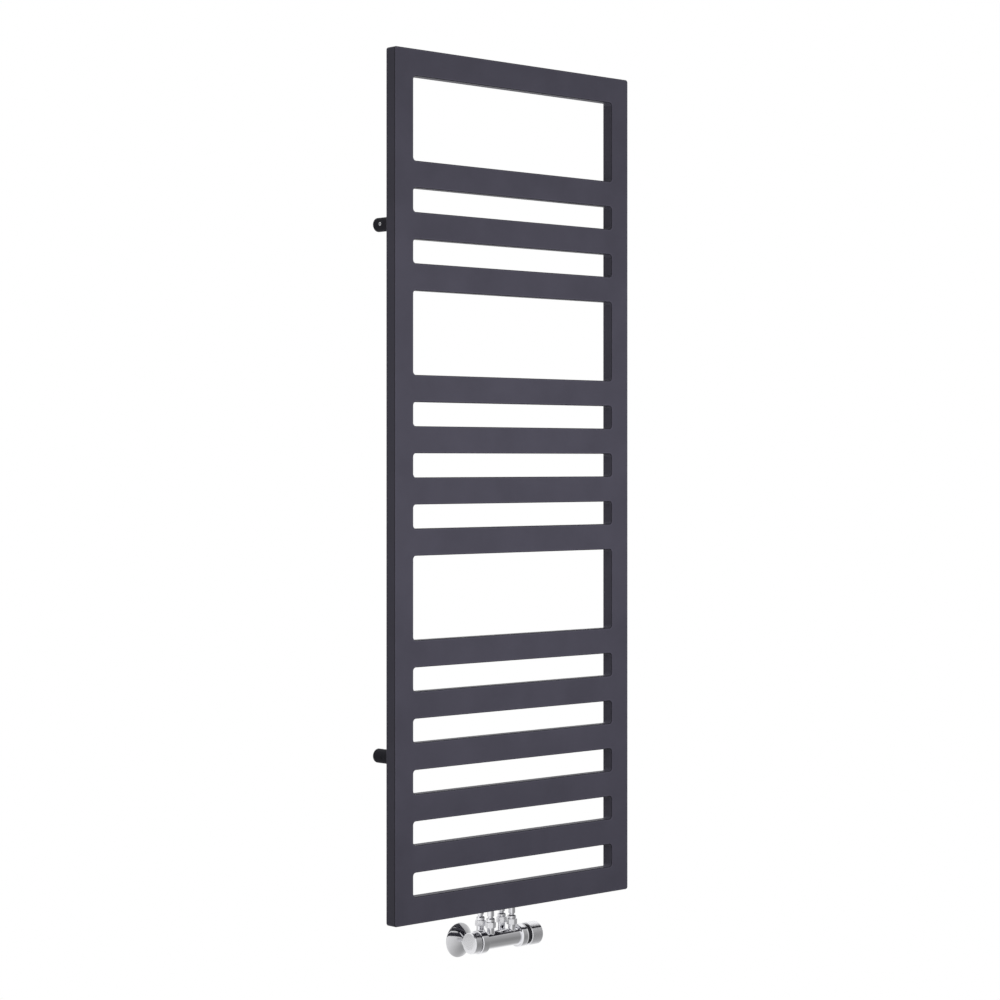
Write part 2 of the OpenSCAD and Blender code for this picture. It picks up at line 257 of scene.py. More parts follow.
def powder_coat(name, colour, gloss, peel, specular=0.15):
    """Stoved powder paint with orange peel, faint cloudiness and settled specks.

    The mesh's "rim" darkens a line along the rounded front edges (above 0) and paints a highlight
    beside it (below 0).
    """
    r = Recipe(bpy.data.materials.new(name))
    cloud = r.noise(size=0.09, detail=3.0, roughness=0.55)
    fine = r.noise(size=0.0007, detail=2.0, roughness=0.6)
    skin = r.noise(size=peel, detail=1.0, roughness=0.4)
    specks = r.noise(size=0.004, detail=4.0, roughness=0.7)
    speck = r.ramp(specks, (0.0, 0.0), (0.68, 0.0), (0.76, 1.0))
    clouds = r.ramp(cloud, (0.32, 0.0), (0.68, 1.0))
    tone = r.blend(clouds, shade(colour, 0.93), shade(colour, 1.07))
    tone = r.blend(speck * 0.10, tone, shade(colour, 1.7))
    # "rim": a darker line on the middle of each rounded front edge, and a painted highlight on the
    # front face beside it
    rim = r.node("ShaderNodeAttribute", {"attribute_name": "rim"}, out="Fac")
    tone = r.blend(rim.clipped(), tone, shade(colour, 0.2))
    tone = r.blend((rim * -1.0).clipped(), tone, shade(colour, 1.5))
    dull = (1.0 - gloss) + (cloud - 0.5) * 0.10 + speck * 0.06
    normal = r.bump(skin + fine * 0.25, depth=peel * 0.02, strength=0.35)
    return r.finish(tone, dull.clipped(), 0.0, normal, Specular_IOR_Level=specular)


def polished_chrome(name, colour, dullness, streak):
    """Bright plating with faint polishing lines along streak, wiped smears and tiny waviness."""
    r = Recipe(bpy.data.materials.new(name))
    smear = r.noise(size=0.018, detail=3.0, roughness=0.6, vector=r.place(streak))
    lines = r.noise(size=0.0005, detail=2.0, roughness=0.6, vector=r.place(streak))
    wave = r.noise(size=0.012, detail=1.0, roughness=0.4)
    tone = r.blend(r.ramp(smear, (0.35, 0.0), (0.75, 1.0)), colour, shade(colour, 0.94))
    rough = dullness + (smear - 0.45) * 0.05 + (lines - 0.5) * 0.03
    normal = r.bump(wave + lines * 0.05, depth=0.00005, strength=0.3)
    return r.finish(tone, rough.clipped(), 1.0, normal)


def tarnished(r, stain, colour):
    """A metal's colour, darker where it is stained."""
    return r.blend(r.ramp(stain, (0.3, 0.0), (0.8, 1.0)), colour, shade(colour, 0.72))


def turned_metal(name, colour, dullness):
    """Brass or steel as the lathe leaves it, with fine turning rings and a little tarnish."""
    r = Recipe(bpy.data.materials.new(name))
    rings = r.noise(size=0.0004, detail=1.0, roughness=0.5, vector=r.place((1.0, 0.08, 0.08)))
    stain = r.noise(size=0.006, detail=3.0, roughness=0.65)
    rough = dullness + (stain - 0.5) * 0.16 + (rings - 0.5) * 0.10
    normal = r.bump(rings, depth=0.00004, strength=0.4)
    return r.finish(tarnished(r, stain, colour), rough.clipped(), 1.0, normal)


SHARP_STEP = 1000.0     # turns a height in metres into a step from 0 to 1 within a millimetre


def screw_steel(name, bright, painted):
    """Bright socket screws above; those of the lower stand-offs are painted with their tubes."""
    r = Recipe(bpy.data.materials.new(name))
    height = r.node("ShaderNodeSeparateXYZ", {}, {0: r.place()}, out="Z")
    upper = (height * SHARP_STEP).clipped()
    stain = r.noise(size=0.003, detail=3.0, roughness=0.65)
    tone = r.blend(upper, painted, tarnished(r, stain, bright))
    rough = 0.5 - upper * 0.28 + (stain - 0.5) * 0.16
    normal = r.bump(stain, depth=0.00004, strength=0.4)
    return r.finish(tone, rough.clipped(), upper, normal, Specular_IOR_Level=0.02)


def moulded_black(name, colour, dullness, grain):
    """Moulded plastic or rubber with a fine grain and a dusty bloom."""
    r = Recipe(bpy.data.materials.new(name))
    pits = r.noise(size=grain, detail=2.0, roughness=0.6)
    bloom = r.noise(size=0.01, detail=3.0, roughness=0.6)
    tone = r.blend(r.ramp(bloom, (0.4, 0.0), (0.8, 1.0)), colour, shade(colour, 1.8))
    rough = dullness + (pits - 0.5) * 0.12
    normal = r.bump(pits, depth=grain * 0.08, strength=0.5)
    return r.finish(tone, rough.clipped(), 0.0, normal)


def paint_nodes(coat, *names):
    """Gives CAD nodes that stay their finished material."""
    for name in names:
        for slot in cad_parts[name].material_slots:
            slot.material = coat


# ---- shapes ----------------------------------------------

def link_object(name, data):
    """An object at the origin that holds a mesh, lamp or camera."""
    made = bpy.data.objects.new(name, data)
    bpy.context.scene.collection.objects.link(made)
    return made


def add_object(name, bm, coat, crease=35.0, recalc=True):
    """Turns a bmesh into a named piece at the origin, smooth but for its sharp edges."""
    if recalc:
        bmesh.ops.recalc_face_normals(bm, faces=bm.faces)
    mesh = bpy.data.meshes.new(name)
    bm.to_mesh(mesh)
    bm.free()
    mesh.polygons.foreach_set("use_smooth", [True] * len(mesh.polygons))
    mesh.set_sharp_from_angle(angle=math.radians(crease))
    mesh.materials.append(coat)
    return link_object(name, mesh)


def hand_over(piece, body, slot, *nodes):
    """Says which body a piece rides on and hides the nodes it stands for; slot, its finish, is not
    used.
    """
    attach(piece, body)
    if nodes:
        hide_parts(*nodes)


def circle(radius, sides):
    """Points round a circle, as pairs."""
    turns = [FULL_TURN * k / sides for k in range(sides)]
    return [(radius * math.cos(turn), radius * math.sin(turn)) for turn in turns]


def rounded(corners, steps):
    """A profile whose corners (a, r, radius) are rounded off; one without a radius stays sharp."""
    points = []
    count = len(corners)
    for i, corner in enumerate(corners):
        here = Vector(corner[:2])
        radius = corner[2] if len(corner) > 2 else 0.0
        before = Vector(corners[i - 1][:2]) - here
        after = Vector(corners[(i + 1) % count][:2]) - here
        if radius <= 0.0 or before.length < 1e-9 or after.length < 1e-9:
            points.append(here)
            continue
        half = before.angle(after) / 2
        reach = min(radius / math.tan(half), before.length * 0.499, after.length * 0.499)
        radius = reach * math.tan(half)
        inwards = (before.normalized() + after.normalized()).normalized()
        centre = here + inwards * (radius / math.sin(half))
        start = here + before.normalized() * reach - centre
        end = here + after.normalized() * reach - centre
        turn = start.angle_signed(end)
        for k in range(steps + 1):
            arm = start.copy()
            arm.rotate(Matrix.Rotation(-turn * k / steps, 2))
            points.append(centre + arm)
    return points


# Turns that bring the lathe's own axis, which is Z, to X, Y or Z.
AXES = (Matrix(((0, 0, 1), (1, 0, 0), (0, 1, 0))),
        Matrix(((1, 0, 0), (0, 0, 1), (0, -1, 0))),
        Matrix.Identity(3))


def lathe(bm, profile, centre, axis, sides, closed=True):
    """Turns a profile of (distance along the axis, radius) about an axis through centre."""
    turn = AXES[axis]
    rings = []
    for a, r in profile:
        points = [(0, 0)] if r < 1e-7 else circle(r, sides)
        rings.append([bm.verts.new(Vector(centre) + turn @ Vector((u, v, a))) for u, v in points])
    for one, two in zip(rings, rings[1:] + rings[:1] if closed else rings[1:]):
        if len(one) == 1 and len(two) == 1:
            continue
        for k in range(sides):
            n = (k + 1) % sides
            if len(one) == 1:
                bm.faces.new((one[0], two[k], two[n]))
            elif len(two) == 1:
                bm.faces.new((one[k], one[n], two[0]))
            else:
                bm.faces.new((one[k], one[n], two[n], two[k]))


def turned(profile, centre, axis, sides, closed=True):
    """A bmesh with one turned form in it."""
    bm = bmesh.new()
    lathe(bm, profile, centre, axis, sides, closed)
    return bm


def bridge(bm, rings, closed=False, capped=False):
    """Skins a row of rings that all have the same number of corners."""
    for one, two in zip(rings, rings[1:] + rings[:1] if closed else rings[1:]):
        for k in range(len(one)):
            n = (k + 1) % len(one)
            bm.faces.new((one[k], one[n], two[n], two[k]))
    if capped:
        bm.faces.new(rings[0])
        bm.faces.new(rings[-1])


def hexagon(a, b, flats, bore, centre, axis, turned_by):
    """A nut: six flats, both ends turned to a cone so that the corners are blunted."""
    bm = bmesh.new()
    land = flats / 2 * NUT_LAND
    rings = [[] for _ in range(8)]
    for k in range(NUT_SIDES):
        angle = FULL_TURN * k / NUT_SIDES + turned_by
        off = (math.degrees(angle - turned_by) % 60) - 30
        reach = min(flats / 2 / math.cos(math.radians(off)), flats / 2 * NUT_CORNER)
        drop = (reach - land) * math.tan(NUT_CONE)
        section = ((a + drop, reach), (b - drop, reach), (b, land), (b, bore + CHAMFER),
                   (b - CHAMFER, bore), (a + CHAMFER, bore), (a, bore + CHAMFER), (a, land))
        for ring, (along, r) in zip(rings, section):
            point = Vector((r * math.cos(angle), r * math.sin(angle), along))
            ring.append(bm.verts.new(Vector(centre) + AXES[axis] @ point))
    bridge(bm, rings, closed=True)
    return bm


def repeat_tree():
    """Node group that sets one shape on every point of a carrier."""
    tree = bpy.data.node_groups.new("set_on_points", "GeometryNodeTree")
    for label, way, kind in (("Geometry", "INPUT", "Geometry"), ("Shape", "INPUT", "Object"),
                             ("Size", "INPUT", "Float"), ("Finish", "INPUT", "Material"),
                             ("Geometry", "OUTPUT", "Geometry")):
        tree.interface.new_socket(label, in_out=way, socket_type="NodeSocket" + kind)
    source, sink, shape, place, real, coat = (tree.nodes.new(kind) for kind in (
        "NodeGroupInput", "NodeGroupOutput", "GeometryNodeObjectInfo",
        "GeometryNodeInstanceOnPoints", "GeometryNodeRealizeInstances", "GeometryNodeSetMaterial"))
    for start, output, end, socket in (
            (source, "Geometry", place, "Points"), (source, "Shape", shape, "Object"),
            (shape, "Geometry", place, "Instance"), (source, "Size", place, "Scale"),
            (place, "Instances", real, "Geometry"), (real, "Geometry", coat, "Geometry"),
            (source, "Finish", coat, "Material"), (coat, "Geometry", sink, "Geometry")):
        tree.links.new(start.outputs[output], end.inputs[socket])
    return tree


def set_on_points(name, bm, coat, points, crease=35.0):
    """Repeats the shape in bm at each point and returns one plain mesh object."""
    shape = add_object(name + "_shape", bm, coat, crease)
    carrier = bpy.data.meshes.new(name + "_points")
    carrier.from_pydata(points, [], [])
    holder = link_object(name + "_carrier", carrier)
    modifier = holder.modifiers.new("set_on_points", "NODES")
    modifier.node_group = bpy.data.node_groups.get("set_on_points") or repeat_tree()
    sockets = {item.name: item.identifier for item in modifier.node_group.interface.items_tree
               if item.in_out == "INPUT"}
    modifier[sockets["Shape"]] = shape
    modifier[sockets["Size"]] = 1.0
    modifier[sockets["Finish"]] = coat
    graph = bpy.context.evaluated_depsgraph_get()
    mesh = bpy.data.meshes.new_from_object(holder.evaluated_get(graph))
    mesh.name = name
    piece = link_object(name, mesh)
    for spare in (holder, shape):
        bpy.data.objects.remove(spare, do_unlink=True)
    return piece


def loop_points(x0, x1, z0, z1, radius, steps):
    """Corners of a rounded rectangle, the same count for every radius."""
    radius = max(radius, LEAST_R)
    points = []
    for cx, cz, start in ((x1 - radius, z1 - radius, 0), (x0 + radius, z1 - radius, 90),
                          (x0 + radius, z0 + radius, 180), (x1 - radius, z0 + radius, 270)):
        for k in range(steps + 1):
            angle = math.radians(start + 90 * k / steps)
            points.append((cx + radius * math.cos(angle), cz + radius * math.sin(angle)))
    return points


def grown(box, by):
    """A rectangle (x0, x1, z0, z1) made larger all round, or smaller where by is below 0."""
    x0, x1, z0, z1 = box
    return x0 - by, x1 + by, z0 - by, z1 + by


def quarter_round(edge):
    """How far a rounded edge still has to rise, and how far it has turned in, at each step."""
    angles = [math.radians(90 * k / EDGE_STEPS) for k in range(EDGE_STEPS + 1)]
    return [(edge * (1 - math.sin(angle)), edge * (1 - math.cos(angle))) for angle in angles]


# ---- settings --------------------------------------------

class RadiatorFinish(bpy.types.PropertyGroup):
    paint: FloatVectorProperty(
        name="Paint", description="Colour of the powder coat", subtype="COLOR",
        default=(0.060, 0.057, 0.077), min=0.0, max=1.0)
    paint_gloss: FloatProperty(
        name="Paint gloss", description="0 is dead flat, 1 is a mirror", subtype="FACTOR",
        default=0.52, min=0.0, max=1.0)
    peel: FloatProperty(
        name="Orange peel", description="Size of the ripples in the paint", unit="LENGTH",
        default=0.0022, min=0.0005, max=0.01)
    standoff_paint: FloatVectorProperty(
        name="Stand-off paint", description="Colour of the stand-off tubes", subtype="COLOR",
        default=(0.038, 0.037, 0.045), min=0.0, max=1.0)
    chrome: FloatVectorProperty(
        name="Chrome", description="Colour of the plating", subtype="COLOR",
        default=(0.88, 0.88, 0.905), min=0.0, max=1.0)
    chrome_dullness: FloatProperty(
        name="Chrome dullness", description="Roughness of the plating", subtype="FACTOR",
        default=0.07, min=0.0, max=1.0)


class RadiatorShape(bpy.types.PropertyGroup):
    edge: FloatProperty(
        name="Edge rounding", description="Rounding of the long edges of the frame",
        unit="LENGTH", default=0.0015, min=0.0003, max=0.004)
    corner: FloatProperty(
        name="Slot corner", description="Radius of the weld fillet in the slot corners",
        unit="LENGTH", default=0.006, min=0.001, max=0.02)
    outer: FloatProperty(
        name="Outer corner", description="Radius of the ground outer corners of the frame",
        unit="LENGTH", default=0.0045, min=0.001, max=0.012)
    steps: IntProperty(
        name="Corner steps", description="Faces along each rounded corner",
        default=6, min=2, max=16)
    sides: IntProperty(
        name="Turned sides", description="Faces round each turned piece",
        default=96, min=24, max=160)


class RadiatorStudio(bpy.types.PropertyGroup):
    lamp: FloatProperty(
        name="Lamp power", description="Power of the soft front lamp", unit="POWER",
        default=24.8, min=0.0, max=2000.0)
    sky: FloatProperty(
        name="Room light", description="Strength of the light from all round",
        default=0.3, min=0.0, max=3.0)
    floor: FloatVectorProperty(
        name="Floor", description="Colour of the floor", subtype="COLOR",
        default=(0.42, 0.42, 0.42), min=0.0, max=1.0)
    floor_drop: FloatProperty(
        name="Floor height", description="Drop from the frame's underside to the floor",
        unit="LENGTH", default=0.8, min=0.1, max=2.0)


class RadiatorSettings(bpy.types.PropertyGroup):
    finish: PointerProperty(type=RadiatorFinish)
    shape: PointerProperty(type=RadiatorShape)
    studio: PointerProperty(type=RadiatorStudio)


STEEL, SCREW_STEEL, BRASS = (0.62, 0.62, 0.64), (0.90, 0.90, 0.92), (0.70, 0.52, 0.24)
RUBBER, PLASTIC = (0.018, 0.018, 0.018), (0.012, 0.012, 0.014)


def material(name):
    """The named material, made from the settings the first time that it is asked for."""
    found = bpy.data.materials.get(name)
    if found:
        return found
    finish = bpy.context.scene.radiator.finish
    paint, tube_paint, chrome = map(tuple, (finish.paint, finish.standoff_paint, finish.chrome))
    peel, dull = finish.peel, finish.chrome_dullness
    along_x, along_z, brushed_x = (0.2, 1.0, 1.0), (1.0, 1.0, 0.2), (0.15, 1.0, 1.0)
    # The knob's chrome is lightened, painted light standing in for a brighter reflection on its
    # upper half.
    # The rosettes' chrome is darkened, painted shade standing in for a dimmer reflection on their
    # lower half.
    knob_chrome_painted_light, rosette_chrome_painted_shade = shade(chrome, 1.08), shade(chrome, 0.76)
    makers = {
        "frame_powder_coat": lambda: powder_coat(name, paint, finish.paint_gloss, peel),
        "standoff_powder_coat": lambda: powder_coat(name, tube_paint, 0.5, peel, 0.01),
        "body_chrome": lambda: polished_chrome(name, chrome, dull, along_x),
        "upright_chrome": lambda: polished_chrome(name, chrome, dull, along_z),
        "satin_chrome": lambda: polished_chrome(name, chrome, dull + 0.2, brushed_x),
        "knob_chrome_painted_light": lambda: polished_chrome(name, knob_chrome_painted_light, dull + 0.3, brushed_x),
        "rosette_chrome_painted_shade": lambda: polished_chrome(name, rosette_chrome_painted_shade, dull + 0.02,
                                                  (1.0, 0.3, 1.0)),
        "bright_steel": lambda: turned_metal(name, STEEL, dullness=0.22),
        "screw_steel": lambda: screw_steel(name, SCREW_STEEL, tube_paint),
        "turned_brass": lambda: turned_metal(name, BRASS, dullness=0.25),
        "black_rubber": lambda: moulded_black(name, RUBBER, dullness=0.7, grain=0.0006),
        "black_plastic": lambda: moulded_black(name, PLASTIC, dullness=0.38, grain=0.0005),
    }
    return makers[name]()


# ---- pieces ----------------------------------------------

def edge_line_and_highlight(k):
    """Painted highlight where the front begins, a darker line on the middle of the rounding."""
    return math.sin(math.radians(180 * k / EDGE_STEPS)) if k else PAINTED_HIGHLIGHT


class RADIATOR_OT_panel(bpy.types.Operator):
    """Builds the flush front of the frame as one welded and ground panel with thirteen slots"""
    bl_idname = "radiator.panel"
    bl_label = "Frame panel"

    def execute(self, context):
        shape = context.scene.radiator.shape
        edge, corner = shape.edge, shape.corner
        halo = edge + HIGHLIGHT_WIDTH
        bm = bmesh.new()
        rim = bm.verts.layers.float.new("rim")

        # A ring's coat value goes to "rim": a painted highlight beside each front edge and a darker
        # line on its rounding.
        def ring(box, radius, y, coat=0.0):
            verts = [bm.verts.new((x, y, z)) for x, z in loop_points(*box, radius, shape.steps)]
            for vert in verts:
                vert[rim] = coat
            return verts

        def front_rings(box, radius, way):
            """Rings over a rounded front edge; way is -1 at the outline and 1 round a slot."""
            rings = [ring(grown(box, way * halo), radius + way * halo, FRONT)]
            for k, (rise, turn) in enumerate(quarter_round(edge)):
                rings.append(ring(grown(box, way * rise), radius + way * rise, FRONT + turn,
                                  edge_line_and_highlight(k)))
            return rings

        outline = (LEFT, -LEFT, BOTTOM, TOP)
        loops = [[*front_rings(outline, shape.outer, -1), ring(outline, shape.outer, BAR_BACK)]]
        for (_, low), (high, _) in zip(BAR_SPANS, BAR_SPANS[1:]):
            loops.append(front_rings((INNER_LEFT, -INNER_LEFT, low, high), corner, 1) + [
                ring((INNER_LEFT, -INNER_LEFT, low - turn, high + turn), corner, BAR_BACK - rise)
                for rise, turn in quarter_round(edge)])
        for rings in loops:
            bridge(bm, rings)
        for end in (0, -1):
            edges = [bm.edges.get(pair) for rings in loops
                     for pair in zip(rings[end], rings[end][1:] + rings[end][:1])]
            bmesh.ops.triangle_fill(bm, edges=edges, use_beauty=True)
        panel = add_object("frame_panel", bm, material("frame_powder_coat"), crease=50.0)
        faces = panel.data.polygons
        faces.foreach_set("use_smooth", [max(map(abs, face.normal)) <= FLAT for face in faces])
        hand_over(panel, BODY, "frame_paint", "left_stile", "right_stile", "corner_welds", *BARS)
        return {"FINISHED"}


class RADIATOR_OT_stile_backs(bpy.types.Operator):
    """Builds the part of both stiles that stands behind the bars"""
    bl_idname = "radiator.stile_backs"
    bl_label = "Stile backs"

    def execute(self, context):
        shape = context.scene.radiator.shape
        bm = bmesh.new()
        levels = [(0.0, BAR_BACK)] + [(turn, STILE_BACK - rise)
                                      for rise, turn in quarter_round(shape.edge)]
        for side in (-1, 1):
            x0, x1 = sorted((side * LEFT, side * INNER_LEFT))
            bridge(bm, [[bm.verts.new((x, y, z)) for x, z in loop_points(
                *grown((x0, x1, BOTTOM, TOP), -inset), shape.outer - inset, shape.steps)]
                for inset, y in levels], capped=True)
        strips = add_object("stile_backs", bm, material("frame_powder_coat"), crease=50.0)
        faces = strips.data.polygons
        faces.foreach_set("use_smooth", [False] * len(faces))
        hand_over(strips, BODY, "frame_paint")
        return {"FINISHED"}


class RADIATOR_OT_block(bpy.types.Operator):
    """Coats the connection block, the bosses and the vent socket like the frame"""
    bl_idname = "radiator.block"
    bl_label = "Connection block"

    def execute(self, context):
        paint_nodes(material("frame_powder_coat"), "connection_block", "standoff_bosses",
                    "vent_socket")
        return {"FINISHED"}


class RADIATOR_OT_standoffs(bpy.types.Operator):
    """Builds the four stand-off tubes and finishes their wall bases and grub screws"""
    bl_idname = "radiator.standoffs"
    bl_label = "Stand-offs"

    def execute(self, context):
        bore, skin, groove = STANDOFF_BORE, STANDOFF_R, 0.0116
        profile = rounded([
            (BAR_BACK, bore, 0.0003), (0.0, bore, 0.0003), (0.0, skin, 0.0009),
            (-0.0012, skin, 0.0003), (-0.0015, groove), (-0.0018, skin, 0.0003),
            (BAR_BACK + 0.0005, skin, 0.0004), (BAR_BACK, skin - 0.0005, 0.0003)], 3)
        (_, _, low), (right, _, high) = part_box("standoff_tubes")
        points = [(side * (right - STANDOFF_R), 0.0, z) for side in (-1, 1)
                  for z in (low + STANDOFF_R, high - STANDOFF_R)]
        tubes = set_on_points("standoffs", turned(profile, ORIGIN, Y, STANDOFF_SIDES),
                              material("standoff_powder_coat"), points)
        hand_over(tubes, BODY, "standoff_paint", "standoff_tubes")
        paint_nodes(material("bright_steel"), "wall_bases")
        paint_nodes(material("screw_steel"), "grub_screws")
        return {"FINISHED"}


class RADIATOR_OT_vent(bpy.types.Operator):
    """Builds the hexagonal air vent behind the right stile and gives its slotted bleed screw brass
    """
    bl_idname = "radiator.vent"
    bl_label = "Air vent"

    def execute(self, context):
        low, high = span("vent_plug", Y)
        centre = (middle("vent_plug", X), 0.0, middle("vent_plug", Z))
        screw_hole = 0.00406
        nut = hexagon(low, high, width("vent_plug", Z), screw_hole, centre, Y, VENT_TURN)
        vent = add_object("air_vent", nut, material("body_chrome"))
        hand_over(vent, BODY, "chrome", "vent_plug")
        paint_nodes(material("turned_brass"), "bleed_screw")
        return {"FINISHED"}


def nipple_profile(low, high, nut_high):
    """Section of a nipple: shank in the nut, flange, ring, waist and the part in the frame."""
    skin, shank, flange, waist = 0.0061, 0.0069, 0.0076, 0.0045
    start = nut_high + 0.0003
    return rounded([
        (low, RISER_BORE), (high, RISER_BORE), (high, 0.006, 0.0004), (0.0, 0.006), (0.0, skin),
        (start + 0.0095, skin, 0.0003), (start + 0.0088, waist, 0.0004),
        (start + 0.0069, waist, 0.0006), (start + 0.0062, 0.0064, 0.0004),
        (start + 0.0047, 0.0074, 0.0006), (start + 0.0040, flange, 0.0010),
        (start, flange, 0.0010), (start, skin), (nut_high, skin), (nut_high, shank),
        (low, shank, 0.0004)], 4)


def riser_profile(low, high):
    """Section of a riser tube, which widens to a neck at its top."""
    return rounded([
        (low, RISER_BORE), (high, RISER_BORE), (high, NECK_R, 0.0002),
        (high - 0.002, NECK_R, 0.0002), (high - 0.002, TUBE_R), (low, TUBE_R, 0.0003)], 3)


class RADIATOR_OT_risers(bpy.types.Operator):
    """Builds the four nipples, union nuts and riser tubes on Geometry Nodes points"""
    bl_idname = "radiator.risers"
    bl_label = "Risers"

    def execute(self, context):
        chrome = material("upright_chrome")
        sides = context.scene.radiator.shape.sides
        for pair, y in (("front", FRONT_Y), ("rear", REAR_Y)):
            points = [(x, y, BOTTOM) for x in RISER_X]
            nut_low, nut_high = below(pair + "_union_nuts")
            nut = hexagon(nut_low, nut_high, width(pair + "_union_nuts", Y), TUBE_R + 0.0002,
                          ORIGIN, Z, NUT_TURN)
            nuts = set_on_points(pair + "_nuts", nut, material("satin_chrome"), points, crease=25.0)
            hand_over(nuts, BODY, "chrome", pair + "_union_nuts")
            nipple = nipple_profile(*below(pair + "_nipples"), nut_high)
            tube = riser_profile(*below(pair + "_riser_tubes"))
            for name, profile, node in (("_riser_nipples", nipple, "_nipples"),
                                        ("_riser_pipes", tube, "_riser_tubes")):
                made = set_on_points(pair + name, turned(profile, ORIGIN, Z, sides), chrome,
                                     points)
                hand_over(made, BODY, "chrome", pair + node)
        return {"FINISHED"}


class RADIATOR_OT_tails(bpy.types.Operator):
    """Builds the swept elbows under the rear risers and polishes the wall tails"""
    bl_idname = "radiator.tails"
    bl_label = "Elbows and tails"

    def execute(self, context):
        chrome = material("upright_chrome")
        sides = context.scene.radiator.shape.sides
        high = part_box("elbows")[1]
        top, back = high[2] - TAIL_Z, high[1] - REAR_Y
        bend, steps, growth = 0.0075, 12, 0.0014
        path = [(0.0, top - 0.002, 0.0, NECK_R)]
        for k in range(steps + 1):
            angle = math.pi / 2 * k / steps
            path.append((bend * (1 - math.cos(angle)), bend * (1 - math.sin(angle)), angle,
                         NECK_R + growth * k / steps))
        bm = bmesh.new()
        rings = []
        for y, z, angle, radius in path:
            across = Vector((0.0, math.cos(angle), math.sin(angle)))
            rings.append([bm.verts.new(Vector((0.0, y, z)) + radius * (
                Vector((u, 0.0, 0.0)) + across * v)) for u, v in circle(1.0, sides)])
        bridge(bm, rings, capped=True)
        collar = rounded([
            (top - 0.004, 0.0056), (top, 0.0056), (top, 0.0066, 0.0005),
            (top - 0.0030, 0.0066, 0.0004), (top - 0.0034, 0.0062)], 3)
        lathe(bm, collar, ORIGIN, Z, sides)
        sleeve = rounded([
            (0.0042, 0.0077), (back, 0.0077), (back, SLEEVE_R, 0.0007),
            (back - 0.0022, SLEEVE_R, 0.0003), (back - 0.0026, SLEEVE_R - 0.0004),
            (back - 0.0030, SLEEVE_R, 0.0003), (0.0050, SLEEVE_R, 0.0010), (0.0042, 0.0082)], 4)
        lathe(bm, sleeve, ORIGIN, Y, sides)
        points = [(x, REAR_Y, TAIL_Z) for x in RISER_X]
        elbows = set_on_points("swept_elbows", bm, chrome, points)
        hand_over(elbows, BODY, "chrome", "elbows")
        paint_nodes(chrome, "wall_tails")
        return {"FINISHED"}


def cover_profile(rim, front, wall=0.0012, steps=20):
    """Section of a rosette: a rim on the wall, a cone that eases inwards and a hub."""
    hub, bore, seat = SLEEVE_R, TAIL_R + FIT, 0.0030
    flank, y, r = [], -0.0018, rim - 0.0004
    stride = (rim - 0.0004 - hub) / steps
    for k in range(steps + 1):
        lean = math.radians(COVER_LEAN - COVER_EASE * k / steps)
        flank.append((y, r, wall / math.cos(lean)))
        y, r = y - stride * math.tan(lean), r - stride
    inside = [(min(0.0, y + thick), r) for y, r, thick in flank[1:]]
    base = flank[-1][0]
    return rounded([
        (0.0, rim, 0.0003), (-0.0012, rim, 0.0005), *[(y, r) for y, r, _ in flank[:-2]],
        (base, hub, 0.0016), (front, hub, 0.0009), (front, bore, 0.0002),
        (base + seat, bore), (base + seat, hub), *inside[::-1]], 4)


class RADIATOR_OT_rosettes(bpy.types.Operator):
    """Builds the two domed covers that slide on the wall tails"""
    bl_idname = "radiator.rosettes"
    bl_label = "Rosettes"

    def execute(self, context):
        sides = context.scene.radiator.shape.sides
        for node, x in zip(("rosette", "return_rosette"), RISER_X):
            profile = cover_profile(width(node, Z) / 2, span(node, Y)[0])
            cover = add_object(node + "_cover", turned(profile, (x, 0, TAIL_Z), Y, sides),
                               material("rosette_chrome_painted_shade"))
            hand_over(cover, node, "chrome", node)
        return {"FINISHED"}


def saddle(bm, x, sides, steps=10):
    """A branch that grows out of the valve tube with a small fillet round its foot."""
    back, top = FRONT_Y - AXIS_Y, BOTTOM - BRANCH_DROP - AXIS_Z
    flare_all, flare_front, sunk, socket = 0.0013, 0.0005, 0.0006, 0.0057
    rings = []
    for k in range(-1, steps + 1):
        beta = math.pi / 2 * max(k, 0) / steps
        flare, lift = 1 - math.sin(beta), 1 - math.cos(beta)
        ring = []
        for u, v in circle(1.0, sides):
            r = BRANCH_R + flare * (flare_all + flare_front * max(0.0, -v))
            y = back + r * v
            foot = math.sqrt(PIPE_R ** 2 - (back + BRANCH_R * v) ** 2)
            z = math.sqrt(PIPE_R ** 2 - y ** 2) + (top - foot) * lift - (sunk if k < 0 else 0.0)
            ring.append((r * u, y, z))
        rings.append(ring)
    for r, z in ((0.00585, top + 0.0001), (socket, top + 0.0001), (socket, top - 0.0040),
                 (0.0036, top - 0.0040), (0.0036, CHAMBER_R)):
        rings.append([(u, back + v, z) for u, v in circle(r, sides)])
    centre = Vector((x, AXIS_Y, AXIS_Z))
    bridge(bm, [[bm.verts.new(Vector(point) + centre) for point in ring] for ring in rings],
           closed=True)


def body_profile(low, high):
    """Section of the valve body: collars, tube, the bead at the right end, chambers and seats."""
    left, right = 0.02025, 0.0200
    end, start = low + 0.0150, high - 0.0145
    return rounded([
        (low, 0.0142), (low, left - 0.0010, 0.0006), (low + 0.0010, left, 0.0008),
        (end - 0.0010, left, 0.0008), (end, left - 0.0010, 0.0005), (end, PIPE_R, 0.0006),
        (start, PIPE_R, 0.0006), (start, right - 0.0012, 0.0005), (start + 0.0012, right, 0.0008),
        (high - 0.0036, right, 0.0003), (high - 0.0031, right - 0.0005),
        (high - 0.0026, right, 0.0003), (high - 0.0012, right, 0.0008),
        (high, right - 0.0012, 0.0005), (high, CHAMBER_R), (high - 0.0360, CHAMBER_R),
        (high - 0.0365, SEAT_R), (low + 0.0395, SEAT_R), (low + 0.0395, CHAMBER_R),
        (low, CHAMBER_R)], 5)


